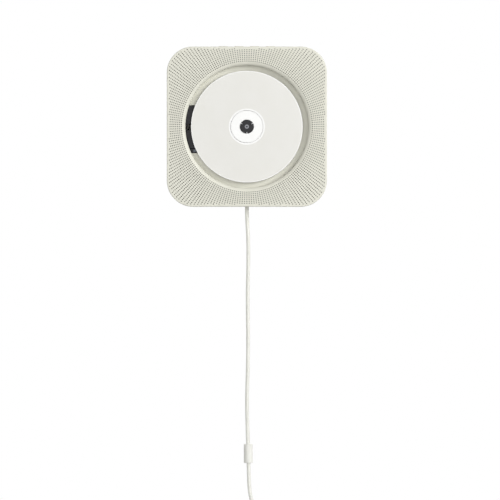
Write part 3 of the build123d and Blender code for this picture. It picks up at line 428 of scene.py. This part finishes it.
# ----------------------------------------------------------------------- disc
# Injection-moulded clear polycarbonate: a raised clamping zone with a groove round it and a ridge
# underneath. It is lacquered over an aluminium mirror and screen printed white, up to a thin edge.
disc_back = -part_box("disc")[1].y * 1000
disc_face = -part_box("disc")[0].y * 1000
disc_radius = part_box("disc")[1].x * 1000
disc_bore = 7.5
disc_edge = 0.2
step_radius = 17.15
step_height = 0.55
groove_width = 0.45
groove_draft = 0.1
groove_depth = 0.3
ridge_radius = 17.2
ridge_width = 0.6
ridge_height = 0.25
print_from = 19.4
print_to = 59.2
print_height = 0.03
mirror_depth = 0.05
mirror_margin = 1.0
disc_sides = 256


def turned(bm, profile):
    """A ring turned about the spindle axis from a closed profile of (radius, height) points."""
    verts = [bmesh.ops.create_vert(bm, co=(radius, 0, height))["vert"][0] for radius, height in profile]
    edges = [bm.edges.new(pair) for pair in zip(verts, verts[1:] + verts[:1])]
    bmesh.ops.spin(bm, geom=verts + edges, cent=(0, 0, 0), axis=(0, 0, 1), dvec=(0, 0, 0),
                   angle=2 * pi, steps=disc_sides, use_merge=True)


blank = bmesh.new()
turned(blank, [
    (disc_bore, disc_back + disc_edge), (disc_bore + disc_edge, disc_back),
    (ridge_radius - ridge_width, disc_back), (ridge_radius - ridge_width / 2, disc_back - ridge_height),
    (ridge_radius + ridge_width / 2, disc_back - ridge_height), (ridge_radius + ridge_width, disc_back),
    (print_to, disc_back), (disc_radius - disc_edge, disc_back), (disc_radius, disc_back + disc_edge),
    (disc_radius, disc_face - disc_edge), (disc_radius - disc_edge, disc_face), (print_to, disc_face),
    (print_from, disc_face), (step_radius + groove_width, disc_face),
    (step_radius + groove_width - groove_draft, disc_face - groove_depth),
    (step_radius, disc_face - groove_depth), (step_radius, disc_face + step_height),
    (disc_bore + disc_edge, disc_face + step_height), (disc_bore, disc_face + step_height - disc_edge),
])
# The print's place and the groove keep the clear finish. The rest of the blank takes the second finish,
# painted white light.
for face in blank.faces:
    middle = face.calc_center_median()
    reach = middle.xy.length
    by_groove = step_radius - touching < reach < step_radius + groove_width
    in_groove = by_groove and middle.z > disc_back + groove_depth
    face.material_index = 0 if in_groove or print_from < reach < print_to else 1
disc_blank = finish_piece(blank, "disc_blank", "disc", "disc", slot="disc_plastic")
label = bmesh.new()
turned(label, [(print_from, disc_face), (print_to, disc_face),
               (print_to, disc_face + print_height), (print_from, disc_face + print_height)])
disc_label = finish_piece(label, "disc_label", "disc", slot="disc_plastic")
mirror = bmesh.new()
mirror_radius = print_to - mirror_margin
turned(mirror, [(print_from, disc_face - 2 * mirror_depth), (mirror_radius, disc_face - 2 * mirror_depth),
                (mirror_radius, disc_face - mirror_depth), (print_from, disc_face - mirror_depth)])
disc_mirror = finish_piece(mirror, "disc_mirror", "disc", slot="disc_plastic")

# ------------------------------------------------------------------- plastics
# Colours are screen values turned into linear light, and patterns are sized in real millimetres.


def linear(colour):
    parts = [int(colour[place:place + 2], 16) / 255 for place in (1, 3, 5)]
    return [*(part / 12.92 if part <= 0.04045 else ((part + 0.055) / 1.055) ** 2.4 for part in parts), 1]


def add(tree, kind, settings={}, links={}):
    """Adds a shader node, sets its inputs or properties by name and joins its inputs up."""
    node = tree.nodes.new("ShaderNode" + kind)
    for name, value in settings.items():
        if name in node.inputs:
            node.inputs[name].default_value = value
        else:
            setattr(node, name, value)
    for name, socket in links.items():
        tree.links.new(socket, node.inputs[name])
    return node


def new_material(name):
    material = bpy.data.materials.new(name)
    material.use_nodes = True
    material.node_tree.nodes.clear()
    return material, material.node_tree


def patterned(name, light, dark, pattern_mm, grain_mm, relief_mm, gloss, **shader):
    """A finish that wanders between two colours and two roughnesses over a fine surface grain."""
    material, tree = new_material(name)
    place = add(tree, "TexCoord").outputs["Object"]
    cloud = add(tree, "TexNoise", {"Scale": 1000 / pattern_mm, "Detail": 3}, {"Vector": place})
    colour = add(tree, "ValToRGB", {}, {"Fac": cloud.outputs["Fac"]})
    colour.color_ramp.elements[0].position = 0.3
    colour.color_ramp.elements[0].color = linear(dark)
    colour.color_ramp.elements[1].position = 0.7
    colour.color_ramp.elements[1].color = linear(light)
    grain = add(tree, "TexNoise", {"Scale": 1000 / grain_mm, "Detail": 2}, {"Vector": place})
    rough = add(tree, "MapRange", {"To Min": gloss[0], "To Max": gloss[1]},
                {"Value": grain.outputs["Fac"]})
    relief = add(tree, "Bump", {"Distance": relief_mm / 1000}, {"Height": grain.outputs["Fac"]})
    surface = add(tree, "BsdfPrincipled", shader, {
        "Base Color": colour.outputs["Color"], "Roughness": rough.outputs["Result"],
        "Normal": relief.outputs["Normal"]})
    add(tree, "OutputMaterial", {}, {"Surface": surface.outputs["BSDF"]})
    return material


# Spark-eroded ABS: dull and even, a little warm.
casing_abs = patterned("warm_grey_abs_fine_texture", "#DDDCCF", "#DAD9CC", 14, 0.28, 0.012, (0.42, 0.6))
# Its pinholes are painted much darker, with the rough face that the pins were eroded with: painted shade
# for the shade inside the holes.
pinhole_painted_shade = patterned("warm_grey_abs_painted_shade_in_pinholes", "#8A897D", "#807F73", 3, 0.2, 0.02, (0.7, 0.9))
# The deck's ABS is black with a satin face that greys where it catches the light.
deck_abs = patterned("black_abs_satin", "#242328", "#1E1D22", 9, 0.22, 0.01, (0.38, 0.55))
# Across the deck above its remote window, a narrow band is painted near black with no shine: painted shade
# for a narrow gap there.
deck_gap_height = -0.0235
deck_gap_width = 0.0008
deck_surface = deck_abs.node_tree.nodes["Principled BSDF"]
deck_place = add(deck_abs.node_tree, "SeparateXYZ", {}, {
    "Vector": add(deck_abs.node_tree, "TexCoord").outputs["Object"]})
gap_shade_mask = add(deck_abs.node_tree, "Math", {"operation": "COMPARE"})
deck_abs.node_tree.links.new(deck_place.outputs["Z"], gap_shade_mask.inputs[0])
gap_shade_mask.inputs[1].default_value = deck_gap_height
gap_shade_mask.inputs[2].default_value = deck_gap_width / 2
deck_colour = deck_surface.inputs["Base Color"]
deck_gloss = deck_surface.inputs["Specular IOR Level"]
deck_colour_with_painted_gap_shade = add(deck_abs.node_tree, "MixRGB", {"Color2": linear("#08080A")}, {
    "Fac": gap_shade_mask.outputs["Value"], "Color1": deck_colour.links[0].from_socket})
deck_abs.node_tree.links.new(deck_colour_with_painted_gap_shade.outputs["Color"], deck_colour)
deck_shine_off_in_painted_shade = add(deck_abs.node_tree, "MapRange", {"To Min": deck_gloss.default_value, "To Max": 0.0}, {
    "Value": gap_shade_mask.outputs["Value"]})
deck_abs.node_tree.links.new(deck_shine_off_in_painted_shade.outputs["Result"], deck_gloss)
# The remote window: smoked, polished and faintly blue.
smoked_window = patterned("smoked_acrylic_polished", "#666C76", "#5E646E", 3, 0.5, 0.001, (0.06, 0.12))
white_acetal = patterned("white_acetal_as_moulded", "#FBFBFA", "#F8F8F7", 6, 0.3, 0.004, (0.3, 0.42))
hub_black = patterned("black_acetal_satin", "#141417", "#101013", 3, 0.2, 0.006, (0.35, 0.5))
glass_nylon = patterned("black_glass_filled_nylon", "#232427", "#1A1B1D", 2, 0.3, 0.015, (0.45, 0.65))
chip_epoxy = patterned("black_chip_epoxy", "#1D1D1F", "#171719", 2, 0.1, 0.008, (0.5, 0.65))
nylon_natural = patterned("natural_nylon", "#E9E5D8", "#E0DBCB", 5, 0.4, 0.006, (0.35, 0.5))
key_abs = patterned("warm_grey_abs_satin", "#DEDDCE", "#D9D8C8", 8, 0.2, 0.006, (0.34, 0.46))
adapter_abs = patterned("light_grey_abs_texture", "#DFDFD9", "#D9D9D2", 12, 0.35, 0.02, (0.45, 0.62))
# The flex and what is moulded on it: softer, so light sinks in a little and edges look rounder.
cord_vinyl = patterned("pale_vinyl_extruded", "#E8E8E1", "#E3E3DB", 5, 0.5, 0.008, (0.36, 0.5), **{
    "Subsurface Weight": 0.35, "Subsurface Scale": 0.0015, "Subsurface Radius": (1, 1, 1)})
grip_vinyl = patterned("pale_vinyl_moulded", "#EBEBE5", "#E5E5DE", 6, 0.4, 0.01, (0.4, 0.52), **{
    "Subsurface Weight": 0.35, "Subsurface Scale": 0.0015, "Subsurface Radius": (1, 1, 1)})
tie_vinyl = patterned("clear_grey_vinyl_strip", "#D6D6D4", "#CCCCCA", 4, 0.6, 0.01, (0.25, 0.4))
black_rubber = patterned("black_rubber_moulded", "#1B1B1B", "#141414", 3, 0.25, 0.02, (0.6, 0.8))
cone_paper = patterned("black_cone_paper", "#2B2A29", "#1D1C1B", 1.2, 0.3, 0.04, (0.75, 0.9))
ferrite = patterned("sintered_ferrite", "#3A3A3C", "#2E2E30", 1.5, 0.25, 0.03, (0.55, 0.75))
# Where the clear blank shows the lit white turntable through it and carries light along its own edge, its
# finish is painted opaque white: painted light.
blank_painted_light = patterned("clear_polycarbonate_painted_white_light", "#F7F7F5", "#F4F4F2", 10, 0.4, 0.001, (0.2, 0.3),
                      IOR=1.58)
disc_print = patterned("white_screen_print", "#E3E2DD", "#E1E0DA", 20, 0.4, 0.001, (0.3, 0.38))

# --------------------------------------------------------------------- metals
# Pressed sheet carries a coarser grain, standing for its fine rolling lines; turned and ground pieces are
# smoother.
zinc_plate = patterned("zinc_plated_sheet_steel", "#B9BCBF", "#A6A9AC", 7, 0.6, 0.004, (0.28, 0.45),
                       Metallic=1.0)
ground_steel = patterned("ground_bright_steel", "#D4D5D6", "#CBCCCD", 4, 0.3, 0.001, (0.1, 0.2),
                         Metallic=1.0)
turned_brass = patterned("turned_brass", "#C9AE6C", "#BEA25F", 3, 0.2, 0.002, (0.2, 0.32), Metallic=1.0)
dull_steel = patterned("turned_dull_steel", "#97989C", "#8A8B8F", 2, 0.2, 0.004, (0.35, 0.5), Metallic=1.0)
dark_steel = patterned("black_oxide_steel", "#3E3F42", "#333437", 2, 0.2, 0.004, (0.35, 0.5), Metallic=1.0)
spring_wire = patterned("drawn_spring_wire", "#A2A4A7", "#8F9194", 3, 0.2, 0.002, (0.25, 0.4),
                        Metallic=1.0)
motor_can = patterned("nickel_plated_can", "#B4B4B4", "#A8A8A8", 8, 0.4, 0.002, (0.22, 0.36),
                      Metallic=1.0)
basket_paint = patterned("black_painted_steel", "#26272A", "#1F2023", 5, 0.4, 0.01, (0.35, 0.5))
capacitor_can = patterned("lacquered_aluminium", "#BFC2C9", "#B4B7BE", 5, 0.3, 0.002, (0.2, 0.3),
                          Metallic=1.0)
nickel_blade = patterned("nickel_plated_brass", "#C6C1B4", "#BAB5A8", 5, 0.3, 0.002, (0.15, 0.28),
                         Metallic=1.0)
disc_mirror_coat = patterned("sputtered_aluminium", "#DDE0E4", "#D5D8DC", 15, 0.3, 0.0005, (0.05, 0.1),
                             Metallic=1.0)

# ------------------------------------------------------------ glass and board
# Clear and polished, with hardly any colour. Shadow and diffuse rays pass straight through, so it casts
# no dark patch.


def clear(name, tint, roughness):
    material, tree = new_material(name)
    place = add(tree, "TexCoord").outputs["Object"]
    haze = add(tree, "TexNoise", {"Scale": 60.0, "Detail": 2}, {"Vector": place})
    rough = add(tree, "MapRange", {"To Min": roughness, "To Max": roughness * 2},
                {"Value": haze.outputs["Fac"]})
    glass = add(tree, "BsdfPrincipled", {
        "Base Color": linear(tint), "Transmission Weight": 1.0, "IOR": 1.58},
        {"Roughness": rough.outputs["Result"]})
    through = add(tree, "BsdfTransparent", {"Color": linear(tint)})
    path = add(tree, "LightPath")
    soft = add(tree, "Math", {"operation": "MAXIMUM"}, {})
    tree.links.new(path.outputs["Is Shadow Ray"], soft.inputs[0])
    tree.links.new(path.outputs["Is Diffuse Ray"], soft.inputs[1])
    mix = add(tree, "MixShader", {}, {"Fac": soft.outputs["Value"]})
    tree.links.new(glass.outputs["BSDF"], mix.inputs[1])
    tree.links.new(through.outputs["BSDF"], mix.inputs[2])
    add(tree, "OutputMaterial", {}, {"Surface": mix.outputs["Shader"]})
    return material


polycarbonate = clear("clear_polycarbonate_moulded", "#FEFEFE", 0.01)
coated_glass = clear("coated_lens_glass", "#C9D6F2", 0.005)


def printed_board(name):
    """Green solder mask over tracks: a grid of narrow, slightly lighter and raised lines."""
    material, tree = new_material(name)
    place = add(tree, "TexCoord").outputs["Object"]
    squares = add(tree, "TexBrick", {
        "Scale": 1000.0, "Brick Width": 5.08, "Row Height": 1.27, "Mortar Size": 0.12,
        "Color1": linear("#1D5C33"), "Color2": linear("#1B5630"), "Mortar": linear("#2E7A4A")},
        {"Vector": place})
    relief = add(tree, "Bump", {"Distance": 0.00003}, {"Height": squares.outputs["Fac"]})
    surface = add(tree, "BsdfPrincipled", {"Roughness": 0.28}, {
        "Base Color": squares.outputs["Color"], "Normal": relief.outputs["Normal"]})
    add(tree, "OutputMaterial", {}, {"Surface": surface.outputs["BSDF"]})
    return material


solder_mask = printed_board("green_solder_mask")

# ------------------------------------------------------------------- finishes
# Every CAD piece takes the finish that its record names, and the Blender pieces take theirs.
finishes = {
    "casing_plastic": casing_abs, "deck_plastic": deck_abs, "indicator_plastic": smoked_window,
    "steel_plate": zinc_plate, "bright_steel": ground_steel, "black_rubber": black_rubber,
    "white_acetal": white_acetal, "hub_plastic": hub_black, "brass": turned_brass,
    "disc_plastic": polycarbonate, "lens_glass": coated_glass, "sled_plastic": glass_nylon,
    "motor_can": motor_can, "basket_steel": basket_paint, "cone_paper": cone_paper,
    "magnet": ferrite, "board": solder_mask, "chip_plastic": chip_epoxy,
    "capacitor_can": capacitor_can, "connector_plastic": nylon_natural, "key_plastic": key_abs,
    "spring_steel": spring_wire, "guide_plastic": nylon_natural, "cord_vinyl": cord_vinyl,
    "grip_vinyl": grip_vinyl, "tie_vinyl": tie_vinyl, "adapter_plastic": adapter_abs,
    "prong_metal": nickel_blade,
}
for part in frame["record"]["subparts"]:
    node = frame["nodes"][part["node"]]
    for place in node.material_slots:
        place.material = finishes[part["material_slot"]]
# The bush and the shaft's end in the middle of the hub are duller than the other bright steel.
frame["nodes"]["hub_bush"].material_slots[0].material = dull_steel
frame["nodes"]["spindle_shaft"].material_slots[0].material = dark_steel
casing_front.data.materials.append(casing_abs)
casing_front.data.materials.append(pinhole_painted_shade)
disc_blank.data.materials.append(polycarbonate)
disc_blank.data.materials.append(blank_painted_light)
disc_label.data.materials.append(disc_print)
disc_mirror.data.materials.append(disc_mirror_coat)
cord.data.materials.append(cord_vinyl)

# --------------------------------------------------------------------- lights
# A soft key from the right and a little above, over a broad fill from the front and the light that a
# white wall throws back from behind. The camera and reflections see plain white all round.
key_aim = Vector((0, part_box("front_cover")[0].y, 0))
key_off_front = radians(50)
key_above_right = radians(24)
key_distance = 2.5
key_size = 1.2
key_power = 38.4
front_fill = 2.4
side_fill = 0.17
wall_fill = 0.8
# Where one fill gives way to the next, from the front of the player (0) to behind the wall (1).
fill_bands = [(0.036, front_fill), (0.09, side_fill), (0.5, side_fill), (0.56, wall_fill)]
key = bpy.data.objects.new("key", bpy.data.lights.new("key", "AREA"))
key.data.size = key_size
key.data.energy = key_power
key_side = Vector((cos(key_above_right), 0, sin(key_above_right)))
key.location = key_aim + (key_side * sin(key_off_front) - Vector((0, cos(key_off_front), 0))) * key_distance
key.rotation_euler = (key.location - key_aim).to_track_quat("Z", "Y").to_euler()
scene.collection.objects.link(key)

world = bpy.data.worlds.new("white_surround")
world.use_nodes = True
scene.world = world
sky = world.node_tree
sky.nodes.clear()
path = add(sky, "LightPath")
seen = add(sky, "Math", {"operation": "ADD"})
sky.links.new(path.outputs["Is Camera Ray"], seen.inputs[0])
sky.links.new(path.outputs["Is Glossy Ray"], seen.inputs[1])
looked_at = add(sky, "Math", {"operation": "ADD", "use_clamp": True})
sky.links.new(seen.outputs["Value"], looked_at.inputs[0])
sky.links.new(path.outputs["Is Transmission Ray"], looked_at.inputs[1])
way = add(sky, "SeparateXYZ", {}, {"Vector": add(sky, "TexCoord").outputs["Generated"]})
behind = add(sky, "MapRange", {"From Min": -1.0}, {"Value": way.outputs["Y"]})
share = add(sky, "ValToRGB", {}, {"Fac": behind.outputs["Result"]})
ramp = share.color_ramp.elements
ramp[0].color = (front_fill, front_fill, front_fill, 1)
ramp[1].color = (wall_fill, wall_fill, wall_fill, 1)
for place, strength in fill_bands:
    ramp.new(place).color = (strength, strength, strength, 1)
fill = add(sky, "Background", {"Strength": 1.0}, {"Color": share.outputs["Color"]})
white = add(sky, "Background", {"Color": linear("#FFFFFF"), "Strength": 1.0})
both = add(sky, "MixShader", {}, {"Fac": looked_at.outputs["Value"]})
sky.links.new(fill.outputs["Background"], both.inputs[1])
sky.links.new(white.outputs["Background"], both.inputs[2])
add(sky, "OutputWorld", {}, {"Surface": both.outputs["Shader"]})
scene.view_settings.view_transform = "Standard"
